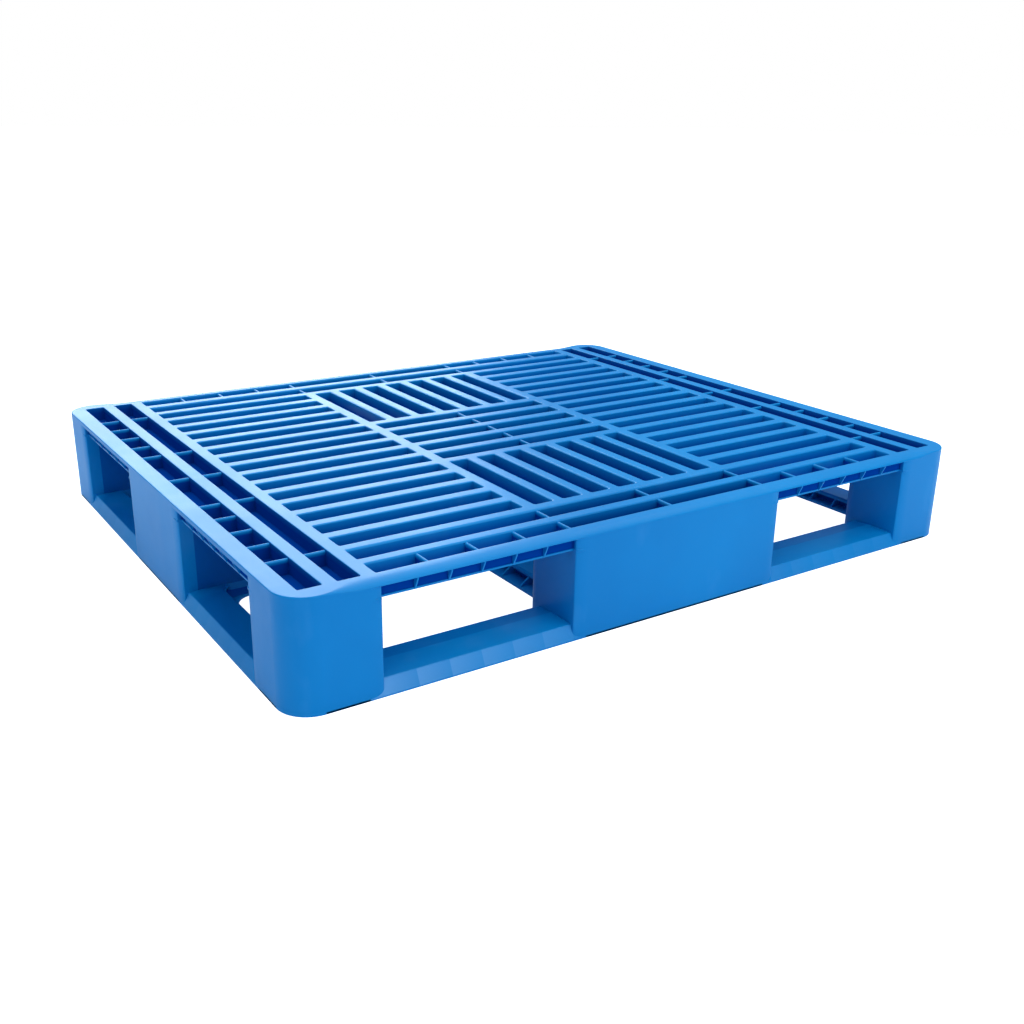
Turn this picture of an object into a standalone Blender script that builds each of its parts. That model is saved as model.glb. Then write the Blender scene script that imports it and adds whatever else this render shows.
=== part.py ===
"""Plastic pallet, 1200 x 1000 x 155 mm: a slotted deck, nine hollow blocks, a base frame and nine pins.

Metres, +Z up. The origin is the centre of the footprint, on the floor.
"""

import math

import bmesh
import bpy

LENGTH, WIDTH, HEIGHT = 1.200, 1.000, 0.155
CORNER_R = 0.045
HX, HY = LENGTH / 2, WIDTH / 2
FIT = 0.0003

# Deck
DECK_T = 0.025
DECK_Z = HEIGHT - DECK_T
RIM = 0.028
STRIP_ROWS = ((0.028, 0.059), (0.079, 0.109))  # rows of blind cells along each short side
STRIP_FLOOR = 0.002
FIELD_X = HX - 0.129
BAR_X = (0.168, 0.189)  # each cross bar, from the centre
SLATS, SLAT_PITCH, SLAT_W = 18, 0.0508, 0.0195
CROSS_SLATS, CROSS_PITCH, CROSS_W = 6, 0.051, 0.019
RIB_W, RIB_DROP = 0.005, 0.002
EDGE_RIBS = (0.0, 0.179, 0.252, 0.325, 0.398)  # outermost long row, either side of the centre
STRIP_RIBS = (0.0, 0.133, 0.1925, 0.252, 0.3115, 0.371)

# Recesses in the deck's edge over the fork openings
RECESS_DEPTH, RECESS_TOP = 0.0095, 0.148
RECESS_RIBS, RECESS_RIB_PITCH, RECESS_RIB_W = 5, 0.0478, 0.004

# Blocks
BLOCK_X, BLOCK_Y = 0.124, 0.119  # corner block
MID_X, MID_Y = 0.189, 0.117  # half sizes of the middle blocks
OUTER_R, FACE_R, INNER_R = (CORNER_R, CORNER_R), (0.020, 0.004), (0.028, 0.028)
CENTRE_R = (0.006, 0.006)
WALL, FLOOR = 0.005, 0.006
WEB_T, TONGUE_L, TONGUE_H = 0.006, 0.030, 0.008

# Base frame
BASE_T = 0.022
SLOPE_IN, SLOPE_Z = 0.0095, 0.003
WINDOW_FLOOR = ((0.155, 0.530), (0.127, 0.403))  # |x| and |y| of the four windows at the floor
WINDOW_TOP = ((0.136, 0.544), (0.112, 0.415))
WINDOW_R = 0.028

# Pins
PIN_SEGMENTS = 20
HEAD_R, HEAD_Z, HEAD_T = 0.013, 0.001, 0.0035
SHANK_R, BARB_R, TIP_R, TIP_Z = 0.006, 0.0074, 0.0045, 0.037
HOLE_R, COUNTERBORE_R, COUNTERBORE_Z = 0.0065, 0.0136, 0.0050


def material(name, colour, roughness):
    made = bpy.data.materials.new(name)
    made.use_nodes = True
    shader = made.node_tree.nodes["Principled BSDF"]
    shader.inputs["Base Color"].default_value = (*colour, 1.0)
    shader.inputs["Roughness"].default_value = roughness
    return made


def add_object(name, bm, finish=None):
    bmesh.ops.recalc_face_normals(bm, faces=bm.faces)
    mesh = bpy.data.meshes.new(name)
    bm.to_mesh(mesh)
    bm.free()
    obj = bpy.data.objects.new(name, mesh)
    bpy.context.scene.collection.objects.link(obj)
    if finish is None:
        obj.hide_render = True
        obj.display_type = "WIRE"
    else:
        mesh.materials.append(finish)
    return obj


def boolean(obj, name, cutter, operation="DIFFERENCE"):
    modifier = obj.modifiers.new(name, "BOOLEAN")
    modifier.object = cutter
    modifier.operation = operation
    modifier.solver = "EXACT"


def stack(bm, loops):
    """Closes a body from loops of equally many points: a cap, the walls between loops, a cap."""
    rings = [[bm.verts.new(point) for point in loop] for loop in loops]
    bm.faces.new(reversed(rings[0]))
    bm.faces.new(rings[-1])
    for low, high in zip(rings, rings[1:]):
        for i in range(len(low)):
            j = (i + 1) % len(low)
            bm.faces.new((low[i], low[j], high[j], high[i]))


def outline(x0, x1, y0, y1, radii, z, segments=6):
    """Rectangle with its own radii (along X, along Y) at each corner, anticlockwise from (x0, y0)."""
    corners = ((x0, y0, 180), (x1, y0, 270), (x1, y1, 0), (x0, y1, 90))
    points = []
    for (x, y, start), (rx, ry) in zip(corners, radii):
        cx = x + rx if x == x0 else x - rx
        cy = y + ry if y == y0 else y - ry
        for i in range(segments + 1):
            a = math.radians(start + 90 * i / segments)
            points.append((cx + rx * math.cos(a), cy + ry * math.sin(a), z))
    return points


def prism(bm, profile, axis, v0, v1):
    """Extrudes a (u, z) profile from v0 to v1, with u along the axis named."""
    if axis == "x":
        ends = [[(u, v, z) for u, z in profile] for v in (v0, v1)]
    else:
        ends = [[(v, u, z) for u, z in profile] for v in (v0, v1)]
    stack(bm, ends)


def turned(bm, x, y, profile, segments=PIN_SEGMENTS):
    """Solid of revolution about a vertical line, from (radius, z) pairs."""
    turns = [2 * math.pi * i / segments for i in range(segments)]
    stack(bm, [[(x + r * math.cos(a), y + r * math.sin(a), z) for a in turns] for r, z in profile])


def both_signs(offsets):
    return sorted({sign * offset for offset in offsets for sign in (-1, 1)})


def spans_between(lo, hi, ribs):
    """The clear lengths left by ribs across a row that runs from lo to hi."""
    edges = [lo]
    for rib in ribs:
        edges += [rib - RIB_W / 2, rib + RIB_W / 2]
    edges.append(hi)
    return list(zip(edges[::2], edges[1::2]))


def cut_row(bm, axis, spans, v0, v1, low=DECK_Z - 0.01):
    """One row of windows; the ribs left between them stand a little below the deck surface."""
    high, relief = HEIGHT + 0.01, HEIGHT - RIB_DROP
    profile = []
    for a, b in spans:
        if profile:
            profile += [(profile[-1][0], relief), (a, relief)]
        profile += [(a, low), (b, low)]
    profile += [(spans[-1][1], high), (spans[0][0], high)]
    prism(bm, profile, axis, v0, v1)


def corner_radii(xs, ys):
    """Full round at the pallet's corners, a shallow roll beside the openings, a wide round inside."""
    radii = []
    for x, y in ((xs[0], ys[0]), (xs[1], ys[0]), (xs[1], ys[1]), (xs[0], ys[1])):
        at_end, at_side = abs(x) == HX, abs(y) == HY
        radii.append(OUTER_R if at_end and at_side else FACE_R if at_side else FACE_R[::-1] if at_end
                     else INNER_R)
    return radii


def block_layout():
    """Name, outline (x0, x1, y0, y1), corner radii, web axis, web positions, tongues, pin, per block."""
    blocks = []
    x_in, y_in = HX - BLOCK_X, HY - BLOCK_Y
    edge_web, bar_web, slat_web = 0.016, 0.069, HY - 8.5 * SLAT_PITCH
    for sy, row in ((-1, "front"), (1, "rear")):
        for sx, side in ((-1, "left"), (1, "right")):
            xs, ys = sorted((sx * HX, sx * x_in)), sorted((sy * HY, sy * y_in))
            radii = corner_radii(xs, ys)
            webs = [sx * (HX - edge_web), sx * (HX - bar_web)]
            pin = (sx * (HX - 0.042), sy * (HY - 0.060))
            blocks.append((f"block_{row}_{side}", xs, ys, radii, "y", webs, [sy * (HY - 0.064)], pin))
        ys = sorted((sy * HY, sy * y_in))
        webs = [sy * (HY - edge_web), sy * (HY - slat_web)]
        radii = corner_radii((-MID_X, MID_X), ys)
        blocks.append((f"block_{row}_mid", (-MID_X, MID_X), ys, radii, "x", webs, [-0.1, 0.1],
                       (0.0, sy * (HY - 0.042))))
    for sx, side in ((-1, "left"), (1, "right")):
        xs = sorted((sx * HX, sx * x_in))
        webs = [sx * (HX - edge_web), sx * (HX - bar_web)]
        radii = corner_radii(xs, (-MID_Y, MID_Y))
        blocks.append((f"block_{side}_mid", xs, (-MID_Y, MID_Y), radii, "y", webs,
                       [-0.06, 0.06], (sx * (HX - 0.042), 0.0)))
    webs = both_signs([sum(BAR_X) / 2])
    blocks.append(("block_centre", (-MID_X, MID_X), (-MID_Y, MID_Y), [CENTRE_R] * 4, "y", webs,
                   [-0.06, 0.06], (0.0, 0.0)))
    return blocks


def build_deck(blocks, finish):
    bm = bmesh.new()
    stack(bm, [outline(-HX, HX, -HY, HY, [OUTER_R] * 4, z, 10) for z in (DECK_Z, HEIGHT)])
    deck = add_object("deck_grid", bm, finish)

    cut = bmesh.new()
    slat = [(k - (SLATS - 1) / 2) * SLAT_PITCH for k in range(SLATS)]
    gaps = [(a + SLAT_W / 2, b - SLAT_W / 2) for a, b in zip(slat, slat[1:])]
    rim_row = (-HY + RIM, slat[0] - SLAT_W / 2)
    inner_ribs = both_signs([0.0, sum(BAR_X) / 2])

    # Rows along X. The outer two on each side run past the cross bars.
    for v0, v1, ribs in ((*rim_row, both_signs(EDGE_RIBS)), (*gaps[0], inner_ribs)):
        spans = spans_between(-FIELD_X, FIELD_X, ribs)
        cut_row(cut, "x", spans, v0, v1)
        cut_row(cut, "x", spans, -v1, -v0)
    for v0, v1 in gaps[1:-1]:
        cut_row(cut, "x", [(-FIELD_X, -BAR_X[1])], v0, v1)
        cut_row(cut, "x", [(BAR_X[1], FIELD_X)], v0, v1)
    for v0, v1 in gaps[6:11]:
        cut_row(cut, "x", spans_between(-BAR_X[0], BAR_X[0], [0.0]), v0, v1)

    # Windows between the short cross slats of the centre field.
    cross = [(k - (CROSS_SLATS - 1) / 2) * CROSS_PITCH for k in range(CROSS_SLATS)]
    edges = [-BAR_X[0]]
    for x in cross:
        edges += [x - CROSS_W / 2, x + CROSS_W / 2]
    edges.append(BAR_X[0])
    y0, y1 = slat[1] + SLAT_W / 2, slat[6] - SLAT_W / 2
    for v0, v1 in zip(edges[::2], edges[1::2]):
        cut_row(cut, "y", [(y0, y1)], v0, v1)
        cut_row(cut, "y", [(-y1, -y0)], v0, v1)

    # Rows of blind cells along the short sides.
    low = DECK_Z + STRIP_FLOOR
    strip_ribs = both_signs(STRIP_RIBS), both_signs([0.0, 0.133, 0.371])
    for (near, far), ribs in zip(STRIP_ROWS, strip_ribs):
        spans = spans_between(-HY + RIM, HY - RIM, ribs)
        cut_row(cut, "y", spans, -HX + near, -HX + far, low)
        cut_row(cut, "y", spans, HX - far, HX - near, low)

    # Ribbed recesses in the edge, over each fork opening.
    low = DECK_Z - 0.005
    for axis, half, lo, hi in (("x", HY, MID_X, HX - BLOCK_X), ("y", HX, MID_Y, HY - BLOCK_Y)):
        middle, reach = (lo + hi) / 2, (RECESS_RIBS - 1) / 2
        pitch = RECESS_RIB_PITCH * (hi - lo) / (HX - BLOCK_X - MID_X)
        ribs = [middle + (i - reach) * pitch for i in range(RECESS_RIBS)]
        edges = [lo] + [rib + s * RECESS_RIB_W / 2 for rib in ribs for s in (-1, 1)] + [hi]
        for u0, u1 in zip(edges[::2], edges[1::2]):
            for side in (-1, 1):
                for a, b in ((u0, u1), (-u1, -u0)):
                    inner, outer = sorted((side * (half - RECESS_DEPTH), side * (half + 0.01)))
                    profile = [(a, low), (b, low), (b, RECESS_TOP), (a, RECESS_TOP)]
                    prism(cut, profile, axis, inner, outer)

    # Sockets for the blocks' tongues.
    for _, _, _, _, axis, webs, tongues, _ in blocks:
        for web in webs:
            for at in tongues:
                half_l, half_t = TONGUE_L / 2 + 2 * FIT, WEB_T / 2 + FIT
                profile = [(at - half_l, low), (at + half_l, low),
                           (at + half_l, DECK_Z + TONGUE_H), (at - half_l, DECK_Z + TONGUE_H)]
                prism(cut, profile, axis, web - half_t, web + half_t)
    boolean(deck, "windows", add_object("deck_cutter", cut))


def build_block(layout, finish):
    name, (x0, x1), (y0, y1), radii, axis, webs, tongues, (pin_x, pin_y) = layout
    z0, z1 = BASE_T + FIT, DECK_Z - FIT
    inner_radii = [(max(rx - WALL, 0.001), max(ry - WALL, 0.001)) for rx, ry in radii]
    inner = (x0 + WALL, x1 - WALL, y0 + WALL, y1 - WALL)
    bm = bmesh.new()
    stack(bm, [outline(x0, x1, y0, y1, radii, z0), outline(x0, x1, y0, y1, radii, z1),
               outline(*inner, inner_radii, z1), outline(*inner, inner_radii, z0 + FLOOR)])
    block = add_object(name, bm, finish)

    # Webs from wall to wall; each carries the snap tongues that enter the deck.
    webbing = bmesh.new()
    lo, hi = (x0, x1) if axis == "x" else (y0, y1)
    lo, hi = lo + WALL / 2, hi - WALL / 2
    top, base = DECK_Z - 0.002, z0 + FLOOR / 2
    for web in webs:
        a, b = lo, hi
        if OUTER_R in radii and HX - abs(web) < CORNER_R:
            # The web beside the outer wall meets that wall on its rounded corner.
            run = CORNER_R - math.sqrt((CORNER_R - WALL / 2) ** 2 - (CORNER_R - HX + abs(web)) ** 2)
            a, b = (lo + run - WALL / 2, hi) if lo < -MID_Y else (lo, hi - run + WALL / 2)
        profile = [(a, base), (b, base), (b, top)]
        for at in reversed(tongues):
            profile += [(at + TONGUE_L / 2, top), (at + TONGUE_L / 2, DECK_Z + TONGUE_H - 2 * FIT),
                        (at - TONGUE_L / 2, DECK_Z + TONGUE_H - 2 * FIT), (at - TONGUE_L / 2, top)]
        prism(webbing, profile + [(a, top)], axis, web - WEB_T / 2, web + WEB_T / 2)
    boolean(block, "webs", add_object(f"{name}_webs", webbing), "UNION")

    hole = bmesh.new()
    turned(hole, pin_x, pin_y, [(HOLE_R, z0 - 0.005), (HOLE_R, z0 + FLOOR + 0.005)])
    boolean(block, "pin_hole", add_object(f"{name}_hole", hole))


def build_base(blocks, finish):
    bm = bmesh.new()
    stack(bm, [outline(-HX, HX, -HY, HY, [OUTER_R] * 4, z, 10) for z in (0.0, BASE_T)])
    base = add_object("base_frame", bm, finish)

    cut = bmesh.new()
    for sx in (-1, 1):
        for sy in (-1, 1):
            loops = []
            for z, t in ((-BASE_T, -1.0), (2 * BASE_T, 2.0)):
                (fx0, fx1), (fy0, fy1) = WINDOW_FLOOR
                (tx0, tx1), (ty0, ty1) = WINDOW_TOP
                xs = sorted((sx * (fx0 + t * (tx0 - fx0)), sx * (fx1 + t * (tx1 - fx1))))
                ys = sorted((sy * (fy0 + t * (ty0 - fy0)), sy * (fy1 + t * (ty1 - fy1))))
                loops.append(outline(*xs, *ys, [(WINDOW_R, WINDOW_R)] * 4, z))
            stack(cut, loops)

    # The outer faces lean in between the blocks.
    for half, axis, lo, hi in ((HY, "y", MID_X, HX - BLOCK_X), (HX, "x", MID_Y, HY - BLOCK_Y)):
        lean = SLOPE_IN / (BASE_T - SLOPE_Z)
        for side in (-1, 1):
            over = 0.01
            profile = [(side * (half + over), SLOPE_Z - over / lean),
                       (side * (half - SLOPE_IN - over * lean), BASE_T + over),
                       (side * (half + over), BASE_T + over)]
            prism(cut, profile, axis, lo, hi)
            prism(cut, profile, axis, -hi, -lo)
    for layout in blocks:
        x, y = layout[-1]
        turned(cut, x, y, [(COUNTERBORE_R, -0.01), (COUNTERBORE_R, COUNTERBORE_Z),
                           (HOLE_R, COUNTERBORE_Z), (HOLE_R, BASE_T + 0.01)])
    boolean(base, "openings", add_object("base_cutter", cut))


def build_pin(layout, finish):
    name, (x, y) = layout[0].replace("block", "pin"), layout[-1]
    shoulder = BASE_T + 2 * FIT + FLOOR
    bm = bmesh.new()
    turned(bm, x, y, [
        (HEAD_R - 0.001, HEAD_Z), (HEAD_R, HEAD_Z + 0.001), (HEAD_R, HEAD_Z + HEAD_T),
        (SHANK_R, HEAD_Z + HEAD_T), (SHANK_R, shoulder), (BARB_R, shoulder + 0.001), (TIP_R, TIP_Z),
    ])
    add_object(name, bm, finish)


for old in list(bpy.data.objects):
    bpy.data.objects.remove(old, do_unlink=True)

layouts = block_layout()
build_deck(layouts, material("deck_blue", (0.03, 0.33, 0.75), 0.42))
build_base(layouts, material("base_blue", (0.01, 0.22, 0.62), 0.48))
for each in layouts:
    build_block(each, material(each[0] + "_blue", (0.015, 0.26, 0.68), 0.45))
    build_pin(each, material(each[0].replace("block", "pin") + "_blue", (0.01, 0.16, 0.48), 0.5))
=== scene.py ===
import math

import bmesh
import bpy
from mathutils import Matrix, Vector


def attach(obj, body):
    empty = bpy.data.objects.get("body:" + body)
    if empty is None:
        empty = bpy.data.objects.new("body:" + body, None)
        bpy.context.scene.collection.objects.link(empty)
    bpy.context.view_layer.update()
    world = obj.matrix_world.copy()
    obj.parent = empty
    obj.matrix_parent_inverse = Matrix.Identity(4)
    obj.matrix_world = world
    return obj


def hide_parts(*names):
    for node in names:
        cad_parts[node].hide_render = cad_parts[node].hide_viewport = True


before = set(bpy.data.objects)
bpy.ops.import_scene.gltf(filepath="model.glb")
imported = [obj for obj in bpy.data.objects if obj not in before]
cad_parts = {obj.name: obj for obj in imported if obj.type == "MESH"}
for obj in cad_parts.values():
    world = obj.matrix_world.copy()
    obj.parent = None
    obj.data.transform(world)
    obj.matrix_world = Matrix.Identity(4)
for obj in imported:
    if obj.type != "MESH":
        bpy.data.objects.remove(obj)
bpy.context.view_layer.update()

# ---------------------------------------------------------------------------
# The room. A plain white floor and sky with three soft panels over and beside
# the pallet. The panel behind its left end lays the long sheen on the deck.
floor_reach = 30
floor_mesh = bpy.data.meshes.new("floor")
floor_corners = [(x * floor_reach, y * floor_reach, 0) for x, y in ((-1, -1), (1, -1), (1, 1), (-1, 1))]
floor_mesh.from_pydata(floor_corners, [], [(0, 1, 2, 3)])
floor = bpy.data.objects.new("floor", floor_mesh)
bpy.context.scene.collection.objects.link(floor)
floor_paint = bpy.data.materials.new("floor_paint")
floor_paint.use_nodes = True
floor_nodes, floor_links = floor_paint.node_tree.nodes, floor_paint.node_tree.links
floor_shader = floor_nodes["Principled BSDF"]
floor_shader.inputs["Base Color"].default_value = (0.60, 0.74, 0.88, 1)
floor_shader.inputs["Roughness"].default_value = 0.9
floor_shader.inputs["Specular IOR Level"].default_value = 0.1
floor_shader.inputs["Emission Color"].default_value = (1, 1, 1, 1)
# It is white to look at, and throws a soft blue light up at the plastic.
looked_at, glow = floor_nodes.new("ShaderNodeLightPath"), floor_nodes.new("ShaderNodeMapRange")
glow.inputs["To Min"].default_value = 0.10
glow.inputs["To Max"].default_value = 1.0
floor_links.new(looked_at.outputs["Is Camera Ray"], glow.inputs["Value"])
floor_links.new(glow.outputs["Result"], floor_shader.inputs["Emission Strength"])
floor_mesh.materials.append(floor_paint)

# The sky is white behind the pallet and dim where the plastic mirrors it.
sky = bpy.data.worlds.new("sky")
sky.use_nodes = True
sky_nodes, sky_links = sky.node_tree.nodes, sky.node_tree.links
seen, dim = sky_nodes["Background"], sky_nodes.new("ShaderNodeBackground")
seen.inputs["Color"].default_value = (1.0, 1.0, 1.0, 1)
dim.inputs["Color"].default_value = (0.80, 0.88, 1.0, 1)
dim.inputs["Strength"].default_value = 0.28
path, either = sky_nodes.new("ShaderNodeLightPath"), sky_nodes.new("ShaderNodeMixShader")
sky_links.new(path.outputs["Is Camera Ray"], either.inputs["Fac"])
sky_links.new(dim.outputs["Background"], either.inputs[1])
sky_links.new(seen.outputs["Background"], either.inputs[2])
sky_links.new(either.outputs["Shader"], sky_nodes["World Output"].inputs["Surface"])
bpy.context.scene.world = sky
bpy.context.scene.view_settings.view_transform = "Standard"

for name, place, aim, size, power, tint in (
    ("panel_above", (0.0, 0.0, 4.5), (0.0, 0.0, 0.0), (10.0, 10.0), 400, (1.0, 1.0, 1.0)),
    ("panel_back_left", (0.8, 3.6, 1.55), (-0.2, 0.0, 0.1), (2.6, 2.0), 90, (0.84, 0.93, 1.0)),
    ("panel_front", (1.2, -3.8, 1.8), (0.1, 0.0, 0.1), (3.0, 2.0), 40, (1.0, 1.0, 1.0)),
):
    light = bpy.data.lights.new(name, "AREA")
    light.shape = "RECTANGLE"
    light.size, light.size_y = size
    light.energy = power
    light.color = tint
    panel = bpy.data.objects.new(name, light)
    panel.location = place
    panel.rotation_euler = (Vector(aim) - Vector(place)).to_track_quat("-Z", "Y").to_euler()
    bpy.context.scene.collection.objects.link(panel)

eye = bpy.data.cameras.new("eye")
eye.lens, eye.sensor_width = 39.305, 36.0
camera = bpy.data.objects.new("eye", eye)
camera.location = (-1.02717, -1.58607, 0.68279)
camera.rotation_euler = (math.radians(70.0369), math.radians(-0.8661), math.radians(-33.7057))
bpy.context.scene.collection.objects.link(camera)
bpy.context.scene.camera = camera


# ---------------------------------------------------------------------------
# The plastic. Blue polyethylene, injection moulded, with a satin skin: a little
# cloudy, finely grained, rubbed paler in streaks, with a few dark specks. A painted
# highlight pales the faces that lean in at the fork openings, and painted shade makes
# it darker and duller down in the hollows.
def moulded_plastic(name, deep, pale, shade, roughness):
    made = bpy.data.materials.new(name)
    made.use_nodes = True
    nodes, links = made.node_tree.nodes, made.node_tree.links
    shader = nodes["Principled BSDF"]
    shader.inputs["IOR"].default_value = 1.5
    shader.inputs["Specular Tint"].default_value = (0.75, 0.92, 1.0, 1)
    place = nodes.new("ShaderNodeTexCoord").outputs["Object"]

    def noise(scale, detail, stretch=(1, 1, 1)):
        mapping = nodes.new("ShaderNodeMapping")
        mapping.inputs["Scale"].default_value = stretch
        links.new(place, mapping.inputs["Vector"])
        texture = nodes.new("ShaderNodeTexNoise")
        texture.inputs["Scale"].default_value = scale
        texture.inputs["Detail"].default_value = detail
        links.new(mapping.outputs["Vector"], texture.inputs["Vector"])
        return texture.outputs["Fac"]

    def ramp(value, low, high):
        out = nodes.new("ShaderNodeMapRange")
        out.inputs["From Min"].default_value = low
        out.inputs["From Max"].default_value = high
        links.new(value, out.inputs["Value"])
        return out.outputs["Result"]

    def blend(factor, under, over):
        mix = nodes.new("ShaderNodeMix")
        mix.data_type = "RGBA"
        links.new(factor, mix.inputs["Factor"])
        for socket, colour in ((mix.inputs[6], under), (mix.inputs[7], over)):
            if isinstance(colour, tuple):
                socket.default_value = (*colour, 1)
            else:
                links.new(colour, socket)
        return mix.outputs[2]

    def scaled(value, by):
        out = nodes.new("ShaderNodeMath")
        out.operation = "MULTIPLY"
        out.inputs[1].default_value = by
        links.new(value, out.inputs[0])
        return out.outputs[0]

    cloudy = ramp(noise(4.0, 3.0), 0.35, 0.65)
    streaks = ramp(noise(9.0, 6.0, (1.6, 1.6, 0.7)), 0.60, 0.80)
    specks = ramp(noise(160.0, 2.0), 0.79, 0.82)
    colour = blend(cloudy, deep, pale)
    colour = blend(scaled(streaks, 0.16), colour, (0.12, 0.38, 0.80))
    colour = blend(scaled(specks, 0.75), colour, (0.004, 0.03, 0.10))
    # Painted shade: the colour goes towards the shade colour where the attribute marks a hollow.
    hollow = nodes.new("ShaderNodeAttribute")
    hollow.attribute_name = "hollow"
    colour = blend(hollow.outputs["Fac"], colour, shade)
    # Painted highlight: a paler blue where the attribute marks the lit facets of the leaning faces.
    painted_glint = nodes.new("ShaderNodeAttribute")
    painted_glint.attribute_name = "painted_glint"
    colour = blend(painted_glint.outputs["Fac"], colour, (0.10, 0.35, 0.74))
    links.new(colour, shader.inputs["Base Color"])
    # Painted shade also lowers the specular level in the hollows, dimming their reflections.
    gloss = nodes.new("ShaderNodeMapRange")
    gloss.inputs["To Min"].default_value = 0.20
    gloss.inputs["To Max"].default_value = 0.0
    links.new(hollow.outputs["Fac"], gloss.inputs["Value"])
    links.new(gloss.outputs["Result"], shader.inputs["Specular IOR Level"])

    sheen = nodes.new("ShaderNodeMapRange")
    sheen.inputs["To Min"].default_value = roughness - 0.06
    sheen.inputs["To Max"].default_value = roughness + 0.10
    links.new(noise(11.0, 4.0), sheen.inputs["Value"])
    links.new(sheen.outputs["Result"], shader.inputs["Roughness"])

    grain = nodes.new("ShaderNodeBump")
    grain.inputs["Strength"].default_value = 0.12
    grain.inputs["Distance"].default_value = 0.0004
    links.new(noise(420.0, 3.0), grain.inputs["Height"])
    sink = nodes.new("ShaderNodeBump")
    sink.inputs["Strength"].default_value = 0.20
    sink.inputs["Distance"].default_value = 0.004
    links.new(noise(9.0, 2.0), sink.inputs["Height"])
    links.new(sink.outputs["Normal"], grain.inputs["Normal"])
    links.new(grain.outputs["Normal"], shader.inputs["Normal"])
    return made


body_plastic = moulded_plastic("body_plastic", deep=(0.0, 0.215, 0.59), pale=(0.0, 0.250, 0.65),
                               shade=(0.0, 0.050, 0.33), roughness=0.34)


# ---------------------------------------------------------------------------
# The deck. One polyethylene moulding: a thin top skin pierced by the window rows,
# a wall hanging from the edge of every window, open underneath, where it presses
# on to the blocks. The long rims roll over, and the edge is cut under at each opening.
def outline(x0, x1, y0, y1, radius, segments=6):
    points = []
    for cx, cy, start in ((x0 + radius, y0 + radius, 180), (x1 - radius, y0 + radius, 270),
                          (x1 - radius, y1 - radius, 0), (x0 + radius, y1 - radius, 90)):
        for i in range(segments + 1):
            a = math.radians(start + 90 * i / segments)
            points.append((cx + radius * math.cos(a), cy + radius * math.sin(a)))
    return points


def skin(bm, rings, closed_ends=(False, False), hollow=None):
    """Walls between rings of equally many points; returns the first and last ring's vertices.

    The last argument gives each ring's painted shade, from 0 on the moulding's outside to 1 far inside.
    """
    layer = bm.verts.layers.float.get("hollow") or bm.verts.layers.float.new("hollow")
    rows = [[bm.verts.new(point) for point in ring] for ring in rings]
    for row, depth in zip(rows, hollow or [0.0] * len(rows)):
        for vert in row:
            vert[layer] = depth
    for low, high in zip(rows, rows[1:]):
        for i in range(len(low)):
            j = (i + 1) % len(low)
            bm.faces.new((low[i], low[j], high[j], high[i]))
    if closed_ends[0]:
        bm.faces.new(reversed(rows[0]))
    if closed_ends[1]:
        bm.faces.new(rows[-1])
    return rows[0], rows[-1]


def fill_between(bm, rings, normal):
    """Flat skin filling the space between closed loops of vertices."""
    edges = [bm.edges.get((ring[i], ring[(i + 1) % len(ring)])) for ring in rings for i in range(len(ring))]
    bmesh.ops.triangle_fill(bm, use_beauty=True, use_dissolve=False, edges=edges, normal=normal)


def finished(name, bm, finish, sharp=32):
    """The bmesh as a smooth-shaded object whose edges sharper than that angle stay crisp."""
    bmesh.ops.recalc_face_normals(bm, faces=bm.faces)
    mesh = bpy.data.meshes.new(name)
    bm.to_mesh(mesh)
    bm.free()
    mesh.polygons.foreach_set("use_smooth", [True] * len(mesh.polygons))
    mesh.set_sharp_from_angle(angle=math.radians(sharp))
    mesh.materials.append(finish)
    obj = bpy.data.objects.new(name, mesh)
    bpy.context.scene.collection.objects.link(obj)
    even = obj.modifiers.new("even_normals", "WEIGHTED_NORMAL")
    even.keep_sharp = True
    even.weight = 90
    return obj


half_x, half_y, top_z, deck_z = 0.600, 0.500, 0.155, 0.130
rim, field_x, cross_bar = 0.028, 0.471, (0.168, 0.189)
slat_pitch, slat_w, slats = 0.0508, 0.0195, 18
slat_y = [(k - (slats - 1) / 2) * slat_pitch for k in range(slats)]
gap_y = [(a + slat_w / 2, b - slat_w / 2) for a, b in zip(slat_y, slat_y[1:])]
edge_row = (-half_y + rim, slat_y[0] - slat_w / 2)
strip_x = ((0.541, 0.572), (0.491, 0.521))
short_pitch, short_w = 0.051, 0.019
corner_r, face_roll = 0.045, (0.020, 0.004)
opening_x, opening_y = (0.189, 0.476), (0.117, 0.381)
recess, lip_z, wall, skin_z, cell_floor = 0.0095, 0.148, 0.003, 0.151, 0.002

# Each window: its sides, the corner radius, how far its edges roll along X and along Y, and how deep.
windows = []
for x0, x1 in strip_x:
    windows += [(a, b, -half_y + rim, half_y - rim, 0.0018, 0.0014, 0.0014, 0.0014)
                for a, b in ((-x1, -x0), (x0, x1))]
blind = len(windows)
for (y0, y1), roll in ((edge_row, 0.003), (gap_y[0], 0.0045)):
    windows += [(-field_x, field_x, a, b, 0.002, 0.0016, roll, 0.003) for a, b in ((y0, y1), (-y1, -y0))]
for y0, y1 in gap_y[1:-1]:
    windows += [(a, b, y0, y1, 0.0025, 0.0018, 0.0030, 0.0020)
                for a, b in ((-field_x, -cross_bar[1]), (cross_bar[1], field_x))]
for y0, y1 in gap_y[6:11]:
    windows.append((-cross_bar[0], cross_bar[0], y0, y1, 0.0025, 0.0018, 0.0030, 0.0020))
short_x = [(k - 2.5) * short_pitch for k in range(6)]
short_edges = [-cross_bar[0]] + [x + s * short_w / 2 for x in short_x for s in (-1, 1)] + [cross_bar[0]]
for x0, x1 in zip(short_edges[::2], short_edges[1::2]):
    y0, y1 = slat_y[1] + slat_w / 2, slat_y[6] - slat_w / 2
    windows += [(x0, x1, a, b, 0.0035, 0.0035, 0.0020, 0.0022) for a, b in ((y0, y1), (-y1, -y0))]


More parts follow.
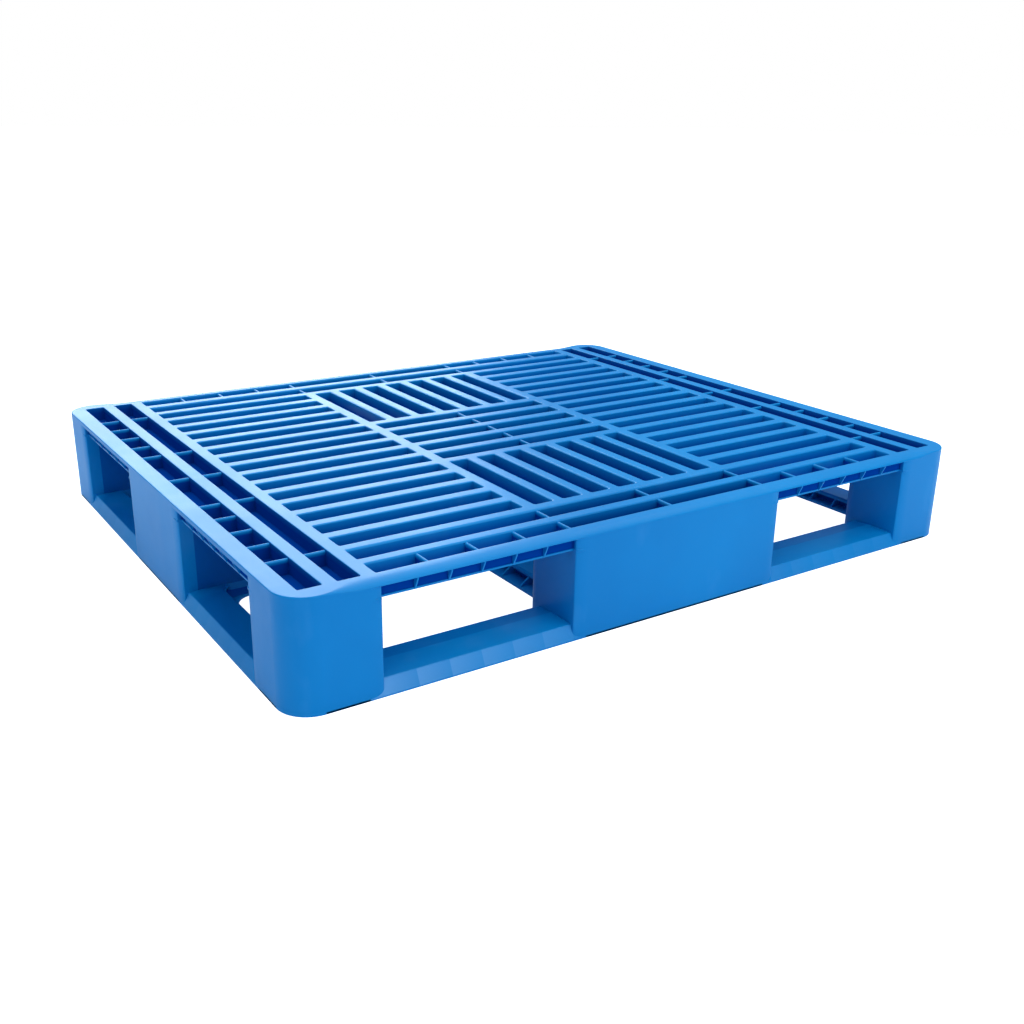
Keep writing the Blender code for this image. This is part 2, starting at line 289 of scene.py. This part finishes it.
def rounding(across, down, steps):
    """(inset, z) from the flat top to the vertical face of an edge."""
    turns = [math.radians(90 * i / steps) for i in range(steps + 1)]
    return [(across * (1 - math.sin(a)), top_z - down * (1 - math.cos(a))) for a in turns]


def window_rings(x0, x1, y0, y1, radius, profile):
    """One ring round a window for each (outset along X, outset along Y, z) of the profile."""
    return [[(x, y, z) for x, y in outline(x0 - ox, x1 + ox, y0 - oy, y1 + oy, radius + min(ox, oy))]
            for ox, oy, z in profile]


deck = bmesh.new()
tops, ceilings = [], []
for number, (x0, x1, y0, y1, radius, roll_x, roll_y, down) in enumerate(windows):
    edge = [(ox, oy, z) for (ox, z), (oy, _) in zip(rounding(roll_x, down, 5), rounding(roll_y, down, 5))]
    edge += [(0.0, 0.0, 0.146), (0.0, 0.0, 0.138)]
    under = [(o, o, z) for o, z in ((wall - 0.0005, deck_z), (wall, deck_z + 0.0005), (wall, skin_z))]
    window = (x0, x1, y0, y1, radius)
    # Painted shade down each window: starting on its rounded edge, darker down the walls, full at the bottom,
    # on the ceilings and on the cells' floors.
    if number < blind:
        # The cells along the short sides have floors.
        shade_depths = [0.0, 0.0, 0.1, 0.3, 0.5, 0.7, 1.0, 1.0, 1.0]
        edge.append((0.0, 0.0, deck_z + cell_floor))
        top, _ = skin(deck, window_rings(*window, edge), (False, True), shade_depths)
        _, ceiling = skin(deck, window_rings(*window, under), (True, False), [1.0] * 3)
    else:
        shade_depths = [0.0, 0.0, 0.0, 0.0, 0.08, 0.2, 0.6, 0.95] + [1.0] * 5
        edge += [(0.0, 0.0, deck_z + 0.0006), (0.0005, 0.0005, deck_z)]
        top, ceiling = skin(deck, window_rings(*window, edge + under), hollow=shade_depths)
    tops.append(top)
    ceilings.append(ceiling)


def undercut(along, opening):
    """Depth of the undercut at a point along a side; the blocks' faces roll in a little before it."""
    lo, hi = opening
    u = min(along - (lo - face_roll[0]), hi + face_roll[0] - along)
    if u <= 0:
        return 0.0
    if u > face_roll[0]:
        return recess
    return face_roll[1] * (1 - math.sqrt(max(1 - (u / face_roll[0]) ** 2, 0)))


def edge_stations():
    """Points round the deck's edge: place, outward direction, undercut, and how far the top rolls over."""
    stations = []
    for turn, (run, depth, opening, rolls) in enumerate(((half_x, half_y, opening_x, True),
                                                         (half_y, half_x, opening_y, False)) * 2):
        a = math.radians(90 * turn)
        stops = {0.0}
        for end, way in ((opening[0], -1), (opening[1], 1)):
            stops |= {end + way * face_roll[0] * u for u in (1, 0.8, 0.6, 0.4, 0.25, 0.12, 0.04, 0)}
            stops.add(end - way * 0.0002)
        stops |= {opening[0] + (opening[1] - opening[0]) * i / 6 for i in range(7)}
        if rolls:
            stops |= {0.50 + 0.01 * i for i in range(6)}
        stops = sorted({s for t in stops if t < run - corner_r - 0.001 for s in (t, -t)})
        line = [(s, -depth, 0.0, -1.0, undercut(abs(s), opening),
                 (1 - min(max((abs(s) - 0.50) / 0.055, 0), 1)) if rolls else 0.0) for s in stops]
        for i in range(13):
            b = math.radians(270 + 90 * i / 12)
            line.append((run - corner_r + corner_r * math.cos(b), -depth + corner_r + corner_r * math.sin(b),
                         math.cos(b), math.sin(b), 0.0, 0.0))
        ca, sa = math.cos(a), math.sin(a)
        for x, y, nx, ny, cut, roll in line:
            stations.append((x * ca - y * sa, x * sa + y * ca, nx * ca - ny * sa, nx * sa + ny * ca, cut,
                             roll * roll * (3 - 2 * roll)))
    return stations


edge_r, rolled_in, rolled_down = 0.0016, 0.0190, 0.0046
columns, recessed = [], []
for x, y, nx, ny, cut, roll in edge_stations():
    profile = rounding(edge_r + rolled_in * roll, edge_r + rolled_down * roll, 8)
    small, bead = min(cut, 0.0006), min(cut, 0.0012)
    profile += [(0.0, lip_z + small), (small, lip_z), (cut, lip_z - 0.0001), (cut, deck_z + 0.0034)]
    profile += [(cut - bead, deck_z + 0.0026), (cut - bead, deck_z + small / 2), (cut - bead + small, deck_z)]
    profile += [(cut + wall, deck_z), (cut + wall, skin_z)]
    columns.append([(x - nx * o, y - ny * o, z) for o, z in profile])
    recessed.append(cut > face_roll[1] + 0.0001)
rings = list(zip(*columns))
top, ceiling = skin(deck, rings)
# Painted shade: full on the face of the undercut and on the inside of the edge wall.
undercut_face, inside_from = (11, 12), 16
layer = deck.verts.layers.float["hollow"]
deck.verts.ensure_lookup_table()
start = len(deck.verts) - len(rings) * len(columns)
for step in range(len(rings)):
    for i in range(len(columns)):
        if step >= inside_from or recessed[i] and step in undercut_face:
            deck.verts[start + step * len(columns) + i][layer] = 1.0
fill_between(deck, tops + [top], (0, 0, 1))
fill_between(deck, ceilings + [ceiling], (0, 0, -1))
deck_grid = finished("deck", deck, body_plastic)
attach(deck_grid, "root")
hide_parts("deck_grid")


# ---------------------------------------------------------------------------
# The deck's thin ribs. Round-topped webs across the window rows, just under the
# surface, and slanting ones in the undercut over each fork opening, all in one
# shot with the deck and of the same plastic.
def rib_row_tree():
    """Geometry Nodes that lay copies of one rib in an evenly spaced row."""
    tree = bpy.data.node_groups.new("rib_row", "GeometryNodeTree")
    tree.is_modifier = True
    for label, kind in (("Rib", "NodeSocketObject"), ("Start", "NodeSocketVector"),
                        ("Step", "NodeSocketVector"), ("Count", "NodeSocketInt"),
                        ("Plastic", "NodeSocketMaterial")):
        tree.interface.new_socket(label, in_out="INPUT", socket_type=kind)
    tree.interface.new_socket("Geometry", in_out="OUTPUT", socket_type="NodeSocketGeometry")
    inputs, outputs = tree.nodes.new("NodeGroupInput"), tree.nodes.new("NodeGroupOutput")
    line = tree.nodes.new("GeometryNodeMeshLine")
    line.mode, line.count_mode = "OFFSET", "TOTAL"
    rib = tree.nodes.new("GeometryNodeObjectInfo")
    stand = tree.nodes.new("GeometryNodeInstanceOnPoints")
    real = tree.nodes.new("GeometryNodeRealizeInstances")
    paint = tree.nodes.new("GeometryNodeSetMaterial")
    for a, b in ((inputs.outputs["Start"], line.inputs["Start Location"]),
                 (inputs.outputs["Step"], line.inputs["Offset"]),
                 (inputs.outputs["Count"], line.inputs["Count"]),
                 (inputs.outputs["Rib"], rib.inputs["Object"]),
                 (line.outputs["Mesh"], stand.inputs["Points"]),
                 (rib.outputs["Geometry"], stand.inputs["Instance"]),
                 (stand.outputs["Instances"], real.inputs["Geometry"]),
                 (real.outputs["Geometry"], paint.inputs["Geometry"]),
                 (inputs.outputs["Plastic"], paint.inputs["Material"]),
                 (paint.outputs["Geometry"], outputs.inputs["Geometry"])):
        tree.links.new(a, b)
    return tree


rib_rows = rib_row_tree()


def cross_rib(length, along, width, low, high):
    """A web with a rounded top, centred on the origin, its length along X or Y."""
    half = width / 2
    section = [(-half, low), (half, low), (half, high - half - 0.004), (half, high - half)]
    section += [(half * math.cos(math.radians(a)), high - half + half * math.sin(math.radians(a)))
                for a in (30, 60, 90, 120, 150)] + [(-half, high - half), (-half, high - half - 0.004)]
    bm = bmesh.new()
    ends = ([(u, s * length / 2, z) for u, z in section] for s in (-1, 1))
    if along == "x":
        ends = ([(s * length / 2, u, z) for u, z in section] for s in (-1, 1))
    skin(bm, list(ends), (True, True))
    # Painted shade on the rib, from none on its rounded top to full a little below it.
    layer = bm.verts.layers.float["hollow"]
    for vert in bm.verts:
        vert[layer] = min(max((high - half - vert.co.z) / 0.004, 0), 1)
    return finished("rib", bm, body_plastic)


def lay_rows(into, rib, rows, finish):
    """Bakes rows of a rib, each (start, step, count), into the bmesh."""
    for start, step, count in rows:
        row = bpy.data.objects.new("row", bpy.data.meshes.new("row"))
        bpy.context.scene.collection.objects.link(row)
        modifier = row.modifiers.new("rows", "NODES")
        modifier.node_group = rib_rows
        values = {"Rib": rib, "Start": start, "Step": step, "Count": count, "Plastic": finish}
        for item in rib_rows.interface.items_tree:
            if item.in_out == "INPUT":
                modifier[item.identifier] = values[item.name]
        graph = bpy.context.evaluated_depsgraph_get()
        baked = bpy.data.meshes.new_from_object(row.evaluated_get(graph))
        into.from_mesh(baked)
        bpy.data.objects.remove(row, do_unlink=True)
    bpy.data.objects.remove(rib, do_unlink=True)


ribs = bmesh.new()
hold = 0.0015  # how far a rib runs into the bars at its ends
row_rib = {"width": 0.0046, "low": deck_z + 0.001, "high": top_z - 0.0018}
edge_rib = cross_rib(edge_row[1] - edge_row[0] + 2 * hold, "y", **row_rib)
at = sum(edge_row) / 2
lay_rows(ribs, edge_rib, [((s * 0.179, t * at, 0), (s * 0.073, 0, 0), 4) for s in (-1, 1) for t in (-1, 1)]
         + [((0, t * at, 0), (0, 0, 0), 1) for t in (-1, 1)], body_plastic)
gap_rib = cross_rib(gap_y[0][1] - gap_y[0][0] + 2 * hold, "y", **row_rib)
at = sum(gap_y[0]) / 2
lay_rows(ribs, gap_rib, [((-0.1785, t * at, 0), (0.1785, 0, 0), 3) for t in (-1, 1)]
         + [((0, -2 * slat_pitch, 0), (0, slat_pitch, 0), 5)], body_plastic)
strip_rib = cross_rib(strip_x[0][1] - strip_x[0][0] + 2 * hold, "x", **row_rib)
at = sum(strip_x[0]) / 2
lay_rows(ribs, strip_rib, [((s * at, t * 0.133, 0), (0, t * 0.0595, 0), 5) for s in (-1, 1) for t in (-1, 1)]
         + [((-at, 0, 0), (2 * at, 0, 0), 2)], body_plastic)
strip_rib = cross_rib(strip_x[1][1] - strip_x[1][0] + 2 * hold, "x", **row_rib)
at = sum(strip_x[1]) / 2
lay_rows(ribs, strip_rib, [((s * at, t * 0.133, 0), (0, t * 0.238, 0), 2) for s in (-1, 1) for t in (-1, 1)]
         + [((-at, 0, 0), (2 * at, 0, 0), 2)], body_plastic)

# Slanting ribs, from the lip's outer edge in and down to the foot of the undercut.
slant_w = 0.0022
for side, opening, half in (("x", opening_x, half_y), ("y", opening_y, half_x)):
    pitch = (opening[1] - opening[0]) / 6
    for s in (-1, 1):
        bm = bmesh.new()
        section = [(0.0006, lip_z + 0.001), (recess + 0.001, lip_z + 0.001),
                   (recess + 0.001, deck_z + 0.0004), (recess - 0.0012, deck_z + 0.0004),
                   (0.0006, lip_z - 0.0015)]
        ends = []
        for u in (-slant_w / 2, slant_w / 2):
            ends.append([(u, s * (half - o), z) if side == "x" else (s * (half - o), u, z)
                         for o, z in section])
        skin(bm, ends, (True, True))
        slant = finished("slant", bm, body_plastic)
        rows = []
        for t in (-1, 1):
            first = t * (opening[0] + pitch)
            rows.append((((first, 0, 0), (t * pitch, 0, 0)) if side == "x" else
                         ((0, first, 0), (0, t * pitch, 0))) + (5,))
        lay_rows(ribs, slant, rows, body_plastic)
deck_ribs = finished("deck_ribs", ribs, body_plastic)
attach(deck_ribs, "root")


# ---------------------------------------------------------------------------
# The blocks. Nine hollow polyethylene mouldings with a floor and two webs, open
# at the top, pressed up into the deck and pinned to the base. Their outer faces
# run flush with both.
base_z, block_wall, floor_t = 0.022, 0.005, 0.006
half_web, web_end = 0.002, 0.004
unshaded_margin = (0.0220, 0.0232)  # where the painted shade starts on a wall beside an opening, past its unshaded outer edge


def round_box(x0, x1, y0, y1, radii, segments=16):
    """Rounded outline with two more points along each side: at the edge of the painted shade on a wall beside
    an opening, elsewhere near the middle.
    """
    arcs = []
    for i, (x, y, start) in enumerate(((x0, y0, 180), (x1, y0, 270), (x1, y1, 0), (x0, y1, 90))):
        rx, ry = radii[i]
        cx, cy = (x + rx if x == x0 else x - rx), (y + ry if y == y0 else y - ry)
        turns = [math.radians(start + 90 * k / segments) for k in range(segments + 1)]
        arcs.append([(cx + rx * math.cos(a), cy + ry * math.sin(a)) for a in turns])
    points = []
    for arc, (qx, qy) in zip(arcs, [arc[0] for arc in arcs[1:] + arcs[:1]]):
        px, py = arc[-1]
        near, far = half_x - abs(px), half_x - abs(qx)
        for_shade_edge = abs(far - near) > 0.03 and min(near, far) < 0.012 and abs(py) < opening_y[1] + 0.001
        cuts = sorted((d - near) / (far - near) for d in unshaded_margin) if for_shade_edge else (0.45, 0.55)
        points += arc + [(px + (qx - px) * t, py + (qy - py) * t) for t in cuts]
    return points


def inset_ring(x0, x1, y0, y1, radii, inset, z):
    """The same outline drawn in by inset, as a ring at height z."""
    drawn_in = [(max(rx - inset, 0.001), max(ry - inset, 0.001)) for rx, ry in radii]
    return [(x, y, z) for x, y in round_box(x0 + inset, x1 - inset, y0 + inset, y1 - inset, drawn_in)]


footprints = {}
inner_r, centre_r = 0.028, 0.006
for sx, x_name in ((-1, "left"), (0, "mid"), (1, "right")):
    for sy, y_name in ((-1, "front"), (0, "mid"), (1, "rear")):
        xs = sorted((sx * half_x, sx * opening_x[1])) if sx else (-opening_x[0], opening_x[0])
        ys = sorted((sy * half_y, sy * opening_y[1])) if sy else (-opening_y[0], opening_y[0])
        radii = []
        for x, y in ((xs[0], ys[0]), (xs[1], ys[0]), (xs[1], ys[1]), (xs[0], ys[1])):
            at_end, at_side = abs(x) == half_x, abs(y) == half_y
            radii.append((corner_r, corner_r) if at_end and at_side else face_roll if at_side
                         else face_roll[::-1] if at_end
                         else (inner_r, inner_r) if sx or sy else (centre_r, centre_r))
        name = f"block_{y_name}_{x_name}" if sy else f"block_{x_name}_mid" if sx else "block_centre"
        footprints[name] = (xs, ys, radii)

for name, ((x0, x1), (y0, y1), radii) in footprints.items():
    block = bmesh.new()
    levels = ((0, base_z), (0, deck_z), (block_wall, deck_z), (block_wall, base_z + floor_t))
    shape = [inset_ring(x0, x1, y0, y1, radii, inset, z) for inset, z in levels]
    # Painted shade: full inside the block, none yet on its outer walls.
    skin(block, shape, (True, True), hollow=[0, 0, 1, 1])
    layer = block.verts.layers.float["hollow"]
    # Painted shade on the outer walls: on a wall beside an opening in an end it starts past the unshaded
    # strip by the end, and elsewhere it deepens slowly inward from the long sides.
    for vert in block.verts:
        from_end, from_side = half_x - abs(vert.co.x), half_y - abs(vert.co.y)
        if from_end < from_side:
            deep = 0.0 if from_end < sum(unshaded_margin) / 2 else 0.6 + from_end
        else:
            deep = min(max(from_side - 0.0045, 0) / 0.25, 0.45)
        vert[layer] = max(vert[layer], deep)
    for t in (-1, 1):
        # Webs stand across the shorter way of the hollow.
        if x1 - x0 > y1 - y0:
            at = (x0 + x1) / 2 + t * (x1 - x0) / 6
            web = ((at - half_web, at + half_web), (y0 + web_end, y1 - web_end))
        else:
            at = (y0 + y1) / 2 + t * (y1 - y0) / 6
            web = ((x0 + web_end, x1 - web_end), (at - half_web, at + half_web))
        (a0, a1), (b0, b1) = web
        ends = [[(a0, b0, z), (a1, b0, z), (a1, b1, z), (a0, b1, z)]
                for z in (base_z + 0.004, deck_z - 0.001)]
        # Painted shade, full on the webs.
        skin(block, ends, (True, True), hollow=[1, 1])
    piece = finished(name + "_shell", block, body_plastic)
    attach(piece, "root")
    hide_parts(name)


# ---------------------------------------------------------------------------
# The base frame. One polyethylene moulding of flat strips under the blocks, with
# four windows. Its outer face leans in at each opening and stands upright as a
# foot under each block. The pins come up through it from counterbores below.
slope, slope_foot = 0.0095, 0.003
window_floor = ((0.155, 0.530), (0.127, 0.403))
window_top = ((0.136, 0.544), (0.112, 0.415))
crease_y, pocket = 0.446, 0.008

base = bmesh.new()
for label in ("hollow", "painted_glint"):
    base.verts.layers.float.new(label)
walk = []
for turn, (run, depth, opening) in enumerate(((half_x, half_y, opening_x), (half_y, half_x, opening_y)) * 2):
    facet = (opening[1] - opening[0]) / 6
    marks = [(t * opening[0], 0.0) for t in (-1, 1)]
    for t in (-1, 1):
        # Each facet of the lean gets a painted highlight, brightest at its left end and weaker facet by facet
        # to the right, strongest on the left half of the front side.
        glint_peak = 0.85 if turn == 0 and t < 0 else 0.2
        for k in range(6):
            u0 = -opening[1] + k * facet if t < 0 else opening[0] + k * facet
            fade = 1 - 0.11 * k
            marks += [(u0 + 0.0008, glint_peak * fade), (u0 + facet - 0.0004, glint_peak * 0.3 * fade)]
    line = [(s, -depth, 0.0, -1.0, glint) for s, glint in sorted(marks)]
    for i in range(13):
        b = math.radians(270 + 90 * i / 12)
        line.append((run - corner_r + corner_r * math.cos(b), -depth + corner_r + corner_r * math.sin(b),
                     math.cos(b), math.sin(b), 0.0))
    ca, sa = math.cos(math.radians(90 * turn)), math.sin(math.radians(90 * turn))
    walk += [(x * ca - y * sa, x * sa + y * ca, nx * ca - ny * sa, nx * sa + ny * ca, glint)
             for x, y, nx, ny, glint in line]
rings = []
for inset, z in ((0.0004, 0.0), (0.0, 0.0004), (0.0, slope_foot), (slope - 0.001, base_z - 0.0012),
                 (slope + 0.001, base_z)):
    rings.append([(x - nx * inset, y - ny * inset, z) for x, y, nx, ny, _ in walk])
foot, brow = skin(base, rings)
# The painted highlight lies on the leaning face, between its foot and its top.
painted_glint = base.verts.layers.float["painted_glint"]
base.verts.ensure_lookup_table()
for ring in (2, 3):
    for i, station in enumerate(walk):
        base.verts[ring * len(walk) + i][painted_glint] = station[4]
feet, brows = [foot], [brow]
for sx in (-1, 1):
    for sy in (-1, 1):
        (fx0, fx1), (fy0, fy1) = window_floor
        (tx0, tx1), (ty0, ty1) = window_top
        # From the floor up: the foot lip, the pocket under the top plate, its brow, the lower shelf
        # and the crease up to the flat top. The last number of each stage is its painted shade.
        stages = (
            (fx0, fx1, fy0, fy1, 0.0, 0.3), (fx0 - .0004, fx1 + .0004, fy0 - .0002, fy1 + .0002, 0.0026, 0.2),
            (fx0 - .0012, fx1 + .0012, fy0 - .001, fy1 + .001, 0.0034, 0.2),
            (tx0 - pocket, tx1 + pocket, fy0 - .002, fy1 + .002, 0.0040, 0.9),
            (tx0 - pocket, tx1 + pocket, ty0 + .001, ty1 - .001, base_z - 0.0070, 0.9),
            (tx0 + .0008, tx1 - .0008, ty0 + .0005, ty1 - .0005, base_z - 0.0066, 0.4),
            (tx0 + .0010, tx1 - .0010, ty0 + .0005, ty1 - .0005, base_z - 0.0034, 0.1),
            (tx0, tx1, ty0, ty1, base_z - 0.0028, 0.35),
            (tx0 - .0012, tx1 + .0012, ty0 - .0012, crease_y - .0025, base_z - 0.0006, 0.35),
            (tx0 - .0022, tx1 + .0022, ty0 - .0022, crease_y, base_z, 0.0),
        )
        loops, shade_depths = [], []
        for a0, a1, b0, b1, z, depth in stages:
            xs, ys = sorted((sx * a0, sx * a1)), sorted((sy * b0, sy * b1))
            loops.append([(x, y, z) for x, y in outline(*xs, *ys, 0.028, 8)])
            shade_depths.append(depth)
        low, high = skin(base, loops, hollow=shade_depths)
        feet.append(low)
        brows.append(high)
# Counterbores for the pins' heads, one under each block.
head_r, head_h, shank_r, shank_h = 0.0136, 0.005, 0.0065, 0.012
for sx in (-1, 0, 1):
    for sy in (-1, 0, 1):
        x = sx * (half_x - 0.042)
        y = sy * (half_y - (0.060 if sx else 0.042))
        turns = [2 * math.pi * i / 32 for i in range(32)]
        bore = [[(x + r * math.cos(a), y + r * math.sin(a), z) for a in turns]
                for r, z in ((head_r, 0.0), (head_r, head_h), (shank_r, head_h), (shank_r, shank_h))]
        # Painted shade, deepening up the counterbore.
        mouth, _ = skin(base, bore, (False, True), [0.3, 0.7, 1.0, 1.0])
        feet.append(mouth)
fill_between(base, feet, (0, 0, -1))
fill_between(base, brows, (0, 0, 1))
# A foot under each outer block: a band round its outline, from the floor to the block.
foot_band = 0.014
for name, ((x0, x1), (y0, y1), radii) in footprints.items():
    if name == "block_centre":
        continue
    levels = ((0.0004, 0.0001), (0, 0.0005), (0, base_z), (foot_band, base_z), (foot_band, 0.0001))
    outer, inner = skin(base, [inset_ring(x0, x1, y0, y1, radii, inset, z) for inset, z in levels])
    for i in range(len(outer)):
        j = (i + 1) % len(outer)
        base.faces.new((inner[i], inner[j], outer[j], outer[i]))
# Painted shade under the deck: deeper further in from the edges, and heavier on the top of the end runners
# beside the openings.
layer = base.verts.layers.float["hollow"]
for vert in base.verts:
    inward = min(half_x - abs(vert.co.x), half_y - abs(vert.co.y))
    vert[layer] = max(vert[layer], min(max(inward - 0.03, 0) / 0.25, 0.5))
    beside = opening_y[0] + 0.001 < abs(vert.co.y) < opening_y[1] - 0.001
    if beside and abs(vert.co.x) > 0.52 and vert.co.z > base_z - 0.001:
        vert[layer] = 0.55

# Slanting ribs in the pockets, from the top plate's edge down to the foot lip.
brace_w = 0.0034
for reach, foot_x, way in ((window_top[0][0], window_floor[0][0], 1),
                           (window_top[0][1], window_floor[0][1], -1)):
    for s in (-1, 1):
        section = [(reach - way * (pocket + 0.001), base_z - 0.0064), (reach + way * 0.0006, base_z - 0.0064),
                   (foot_x - way * 0.0016, 0.0034), (reach - way * (pocket + 0.001), 0.0034)]
        bm = bmesh.new()
        sides = [[(s * x, u, z) for x, z in section] for u in (-brace_w / 2, brace_w / 2)]
        # Light painted shade on the braces.
        skin(bm, sides, (True, True), [0.3, 0.3])
        lay_rows(base, finished("brace", bm, body_plastic),
                 [((0, t * 0.165, 0), (0, t * 0.05, 0), 5) for t in (-1, 1)], body_plastic)
base_frame = finished("base", base, body_plastic)
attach(base_frame, "root")
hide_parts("base_frame")


# ---------------------------------------------------------------------------
# The pins. Small expanding plugs of polyethylene, pushed up from below through
# the base into each block, where their barbs hold. They are a darker blue.
pin_plastic = moulded_plastic("pin_plastic", deep=(0.0, 0.11, 0.40), pale=(0.0, 0.13, 0.45),
                              shade=(0.0, 0.05, 0.30), roughness=0.42)
for name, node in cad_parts.items():
    if name.startswith("pin_"):
        node.data.materials.clear()
        node.data.materials.append(pin_plastic)
